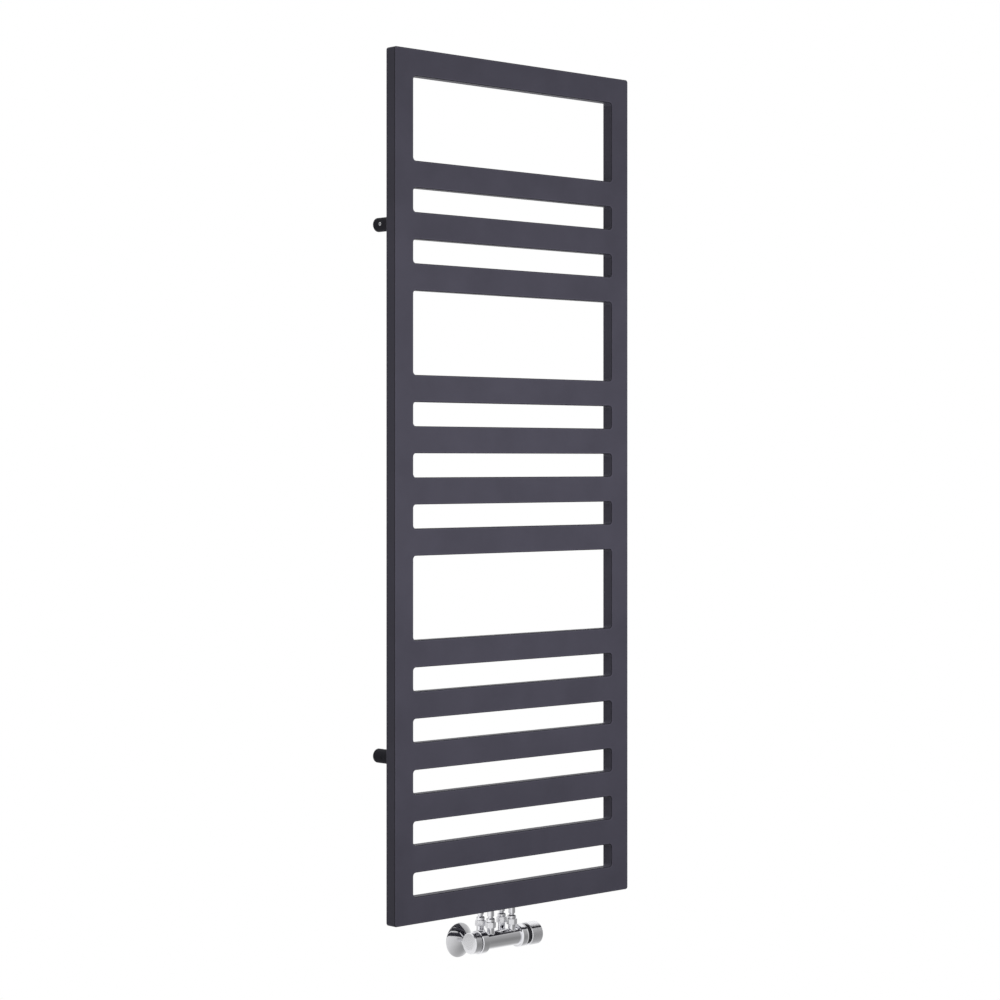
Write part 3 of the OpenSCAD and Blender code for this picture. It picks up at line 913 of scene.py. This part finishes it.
class RADIATOR_OT_valve_body(bpy.types.Operator):
    """Builds the valve body: a turned tube with a collar at each end and two flared branches"""
    bl_idname = "radiator.valve_body"
    bl_label = "Valve body"

    def execute(self, context):
        sides = context.scene.radiator.shape.sides
        flow = RISER_X[0]
        low, high = span("valve_body", X)
        bm = turned(body_profile(low - flow, high - flow), (flow, AXIS_Y, AXIS_Z), X, sides)
        for x in RISER_X:
            saddle(bm, x, sides)
        body = add_object("valve_casting", bm, material("body_chrome"))
        hand_over(body, BODY, "chrome", "valve_body")
        paint_nodes(material("turned_brass"), "lockshield_insert", "lockshield_spindle",
                    "lockshield_plug", "regulating_insert")
        paint_nodes(material("black_rubber"), "cap_o_ring", "spindle_o_ring", "seat_washer")
        paint_nodes(material("bright_steel"), "regulating_spindle")
        return {"FINISHED"}


def end_piece(node):
    """Place on the valve axis, length and radius of a piece at one end of the valve."""
    low, high = span(node, X)
    return (low, AXIS_Y, AXIS_Z), high - low, width(node, Z) / 2


class RADIATOR_OT_cap(bpy.types.Operator):
    """Builds the cover cap over the lockshield, a slightly crowned cup"""
    bl_idname = "radiator.cap"
    bl_label = "Cover cap"

    def execute(self, context):
        sides = context.scene.radiator.shape.sides
        place, long, radius = end_piece("cover_cap")
        mouth, bore, floor = 0.0145, 0.01304, 0.0035
        profile = rounded([
            (0.0, 0.0), (0.0003, radius * 0.6, 0.02), (0.0010, radius - 0.0012, 0.0008),
            (0.0022, radius, 0.0012), (long - 0.0006, radius, 0.0006),
            (long, radius - 0.0008, 0.0004), (long, mouth), (long - 0.0032, mouth),
            (long - 0.0032, bore), (floor, bore), (floor, 0.0)], 6)
        cap = add_object("lockshield_cap", turned(profile, place, X, sides, closed=False),
                         material("satin_chrome"))
        hand_over(cap, "cover_cap", "chrome", "cover_cap")
        return {"FINISHED"}


class RADIATOR_OT_knob(bpy.types.Operator):
    """Builds the knob with its inlaid index line, and the black ring behind it"""
    bl_idname = "radiator.knob"
    bl_label = "Knob"

    def execute(self, context):
        sides = context.scene.radiator.shape.sides
        place, long, radius = end_piece("knob")
        profile = rounded([
            (long - 0.0080, 0.0), (long - 0.0080, SPINDLE_BORE), (0.0, SPINDLE_BORE),
            (0.0, radius - 0.0010, 0.0004), (0.0010, radius, 0.0006),
            (long - 0.0020, radius, 0.0014), (long - 0.0004, radius - 0.0016, 0.0008),
            (long - 0.0004, radius - 0.0050, 0.0004), (long, radius - 0.0056, 0.0004),
            (long, 0.0)], 5)
        knob = add_object("turning_knob", turned(profile, place, X, sides, closed=False),
                          material("knob_chrome_painted_light"))
        hand_over(knob, "knob", "chrome", "knob")
        index = add_object("index_line", self.index_line(radius), material("black_plastic"))
        hand_over(index, "knob", "black_plastic", "knob_index")

        place, long, radius = end_piece("knob_ring")
        bore = 0.0092
        profile = rounded([
            (0.0, bore), (0.0, radius, 0.0005), (long * 0.4, radius, 0.0003),
            (long * 0.5, radius - 0.0006, 0.0003), (long * 0.6, radius, 0.0003),
            (long, radius, 0.0005), (long, bore)], 4)
        ring = add_object("knob_seat_ring", turned(profile, place, X, sides),
                          material("black_plastic"))
        hand_over(ring, BODY, "black_plastic", "knob_ring")
        return {"FINISHED"}

    def index_line(self, radius):
        """A strip along the knob's skin whose far end is rounded."""
        low, high = span("knob", X)
        first, last = low + 0.0010, high - 0.0026
        skin, sunk, steps = radius + FIT, 0.0008, 12
        bm = bmesh.new()
        rings = []
        for k in range(steps + 1):
            across = INDEX_HALF * math.cos(math.pi * (1 - k / steps))
            turn = INDEX_TURN + across / skin
            end = last - INDEX_HALF * (1 - math.sin(math.pi * k / steps)) * 0.6
            forwards, up = math.sin(turn), math.cos(turn)
            section = ((first, skin), (end, skin), (end, skin - sunk), (first, skin - sunk))
            rings.append([bm.verts.new((x, AXIS_Y - r * forwards, AXIS_Z + r * up))
                          for x, r in section])
        bridge(bm, rings, capped=True)
        return bm


# ---- stage -----------------------------------------------

WAY_TO_ROOM = (0.58, -0.77, -0.24)      # direction in which the dim side of the room lies
ROOM = ((0.0, 0.57), (0.05, 0.60), (0.10, 1.0), (0.5, 1.0), (0.61, 0.86),
        (0.78, 0.50), (0.86, 0.37), (0.95, 0.33), (1.0, 0.25))

# name, place, point that it shines at, size and share of the front lamp's power
LAMPS = (("front_lamp", (0.0, -1.62, 0.06), (0.0, -0.1, 0.05), (1.8, 0.8), 1.0),
         ("back_lamp", (0.7, 2.4, 0.6), (0.0, 0.0, 0.0), (1.2, 1.2), 0.9),
         ("left_lamp", (-1.5, -0.5, 0.2), (-0.2, -0.1, 0.0), (0.5, 1.0), 0.18))

FLOOR_HALF = 20.0
# Share of white on the floor by distance: less below the object, so that its shadow shows.
FLOOR_WHITE = ((0.0, 0.86), (0.3, 0.86), (1.0, 1.0))
CAMERA_PLACE = (-2.963652, -3.254993, 0.048113)
CAMERA_AZIMUTH = math.radians(-43.018)
CAMERA_LENS, SENSOR_WIDTH = 90.373, 36.0        # in millimetres
CAMERA_SHIFT = -0.03805


def room_level(r, way):
    """Brightness that polished metal sees along a way: white behind, dim towards the room."""
    way = r.node("ShaderNodeVectorMath", {"operation": "NORMALIZE"}, {0: way})
    along = r.node("ShaderNodeVectorMath", {"operation": "DOT_PRODUCT"},
                   {0: way, 1: WAY_TO_ROOM}, out="Value")
    return r.ramp(along * 0.5 + 0.5, *ROOM)


class RADIATOR_OT_stage(bpy.types.Operator):
    """Sets the floor, the soft studio light and the camera"""
    bl_idname = "radiator.stage"
    bl_label = "Stage"

    def execute(self, context):
        studio = context.scene.radiator.studio
        self.lay_floor(studio, BOTTOM - studio.floor_drop)
        self.light_room(context.scene, studio)
        for name, place, aim, size, share in LAMPS:
            data = bpy.data.lights.new(name, "AREA")
            data.shape, (data.size, data.size_y) = "RECTANGLE", size
            data.energy = studio.lamp * share
            lamp = link_object(name, data)
            lamp.location = place
            way = Vector(aim) - Vector(place)
            lamp.rotation_euler = way.to_track_quat("-Z", "Y").to_euler()
            lamp.visible_glossy = lamp.visible_camera = False

        data = bpy.data.cameras.new("camera")
        data.lens, data.sensor_width, data.shift_y = CAMERA_LENS, SENSOR_WIDTH, CAMERA_SHIFT
        data.clip_end = 100.0
        camera = link_object("camera", data)
        camera.location = CAMERA_PLACE
        camera.rotation_euler = (math.radians(90), 0.0, CAMERA_AZIMUTH)
        context.scene.camera = camera
        context.scene.view_settings.view_transform = "Standard"
        return {"FINISHED"}

    def lay_floor(self, studio, floor_z):
        """A plain floor, white to the camera, that keeps the shadow and isn't there from below."""
        r = Recipe(bpy.data.materials.new("pale_floor"))
        camera, glossy, through = r.rays()
        seen = camera.larger(through)
        cloud = r.noise(size=0.6, detail=2.0, roughness=0.5)
        colour = tuple(studio.floor)
        tone = r.blend(cloud, shade(colour, 0.99), shade(colour, 1.01))
        plain = r.node("ShaderNodeBsdfPrincipled", {}, {"Base Color": tone, "Roughness": 0.9})
        room = room_level(r, r.place(shift=(0.0, 0.0, floor_z - AXIS_Z)))
        white = r.node("ShaderNodeEmission", {}, {"Color": seen.larger(room), "Strength": 1.0})
        coords = r.node("ShaderNodeTexCoord", out="Object")
        away = r.node("ShaderNodeVectorMath", {"operation": "LENGTH"}, {0: coords}, out="Value")
        clear = r.ramp(away, *FLOOR_WHITE)
        above = r.mix((seen * clear).larger(glossy), plain, white)
        under = r.node("ShaderNodeNewGeometry", out="Backfacing")
        r.show(r.mix(under, above, r.node("ShaderNodeBsdfTransparent")))
        bm = bmesh.new()
        bmesh.ops.create_grid(bm, x_segments=4, y_segments=4, size=FLOOR_HALF)
        floor = add_object("floor", bm, r.block, recalc=False)
        floor.location.z = floor_z

    def light_room(self, scene, studio):
        """A white room, whose dim side only metal sees, and soft light from all round."""
        scene.world = bpy.data.worlds.new("studio_room")
        r = Recipe(scene.world)
        camera, glossy, through = r.rays()
        room = room_level(r, r.node("ShaderNodeTexCoord", out="Generated"))
        level = camera.larger(through).larger(room)
        seen = r.node("ShaderNodeBackground", {}, {"Color": level, "Strength": 1.0})
        light = r.node("ShaderNodeBackground", {}, {"Color": opaque((1.0, 1.0, 1.0)),
                                                    "Strength": studio.sky})
        r.show(r.mix(camera.larger(glossy).larger(through), light, seen))


class RADIATOR_PT_panel(bpy.types.Panel):
    bl_label = "Radiator with valve"
    bl_idname = "RADIATOR_PT_panel"
    bl_space_type = "VIEW_3D"
    bl_region_type = "UI"
    bl_category = "Radiator"

    def draw(self, context):
        settings = context.scene.radiator
        for group in (settings.finish, settings.shape, settings.studio):
            box = self.layout.box()
            for name in group.__annotations__:
                box.prop(group, name)
        for operator in OPERATORS:
            self.layout.operator(operator.bl_idname)


OPERATORS = (RADIATOR_OT_panel, RADIATOR_OT_stile_backs, RADIATOR_OT_block, RADIATOR_OT_standoffs,
             RADIATOR_OT_vent, RADIATOR_OT_risers, RADIATOR_OT_tails, RADIATOR_OT_rosettes,
             RADIATOR_OT_valve_body, RADIATOR_OT_cap, RADIATOR_OT_knob, RADIATOR_OT_stage)
CLASSES = (RadiatorFinish, RadiatorShape, RadiatorStudio, RadiatorSettings, *OPERATORS,
           RADIATOR_PT_panel)


def register():
    for cls in CLASSES:
        bpy.utils.register_class(cls)
    bpy.types.Scene.radiator = PointerProperty(type=RadiatorSettings)


def unregister():
    del bpy.types.Scene.radiator
    for cls in reversed(CLASSES):
        bpy.utils.unregister_class(cls)


def main():
    register()
    for operator in OPERATORS:
        group, name = operator.bl_idname.split(".")
        getattr(getattr(bpy.ops, group), name)()


if __name__ == "__main__":
    main()
